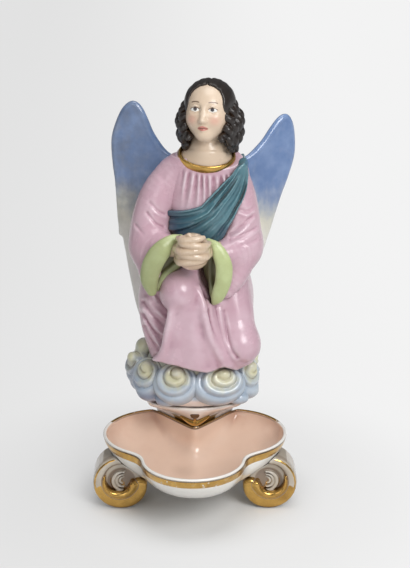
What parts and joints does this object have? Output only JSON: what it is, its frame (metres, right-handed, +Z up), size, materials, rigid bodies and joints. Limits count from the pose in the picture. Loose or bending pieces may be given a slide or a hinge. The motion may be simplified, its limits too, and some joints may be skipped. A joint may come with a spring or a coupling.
{
  "type": "holy water stoup",
  "caption": "Porcelain table stoup: a kneeling winged angel on clouds behind a lobed shallow basin for holy water, on gilt scroll feet.",
  "frame": {"origin": "the middle of the whole outline's box, on the surface that the stoup stands on", "axes": "+Z up, -Y towards the front, where the basin is, +X to the right as seen from the front"},
  "size_m": [0.147, 0.1626, 0.3033],
  "materials": {
    "white_glaze": "glossy white porcelain glaze, with a salmon pink wash inside the basin and a worn gilt rim",
    "gilding": "burnished gold over white porcelain, rubbed through at the edges",
    "pink_glaze": "glossy mauve pink enamel over white porcelain",
    "teal_glaze": "glossy deep teal enamel",
    "green_glaze": "glossy apple green enamel",
    "flesh_glaze": "pale flesh enamel with painted features",
    "hair_glaze": "glossy dark brown enamel",
    "wing_glaze": "blue enamel that fades to bare white down the feathers",
    "cloud_glaze": "pale blue enamel washed with cream and yellow green"
  },
  "bodies": {
    "root": {"basin": "white_glaze", "scroll_foot_left": "gilding", "scroll_foot_right": "gilding", "plinth": "white_glaze", "plinth_leaf": "gilding", "skirt": "pink_glaze", "torso": "pink_glaze", "collar": "gilding", "sash": "teal_glaze", "sleeve_left": "pink_glaze", "sleeve_right": "pink_glaze", "cuff_left": "green_glaze", "cuff_right": "green_glaze", "hands": "flesh_glaze", "head": "flesh_glaze", "hair_cap": "hair_glaze", "hair_left": "hair_glaze", "hair_right": "hair_glaze", "wing_left": "wing_glaze", "wing_right": "wing_glaze", "cloud_base": "cloud_glaze", "cloud_swirl_front_left": "cloud_glaze", "cloud_swirl_front_right": "cloud_glaze", "cloud_curl_left": "cloud_glaze", "cloud_curl_right": "cloud_glaze", "cloud_curl_left_side": "cloud_glaze", "cloud_curl_right_side": "cloud_glaze", "cloud_curl_left_back": "cloud_glaze", "cloud_curl_right_back": "cloud_glaze", "cloud_curl_back": "cloud_glaze"}
  },
  "joints": []
}
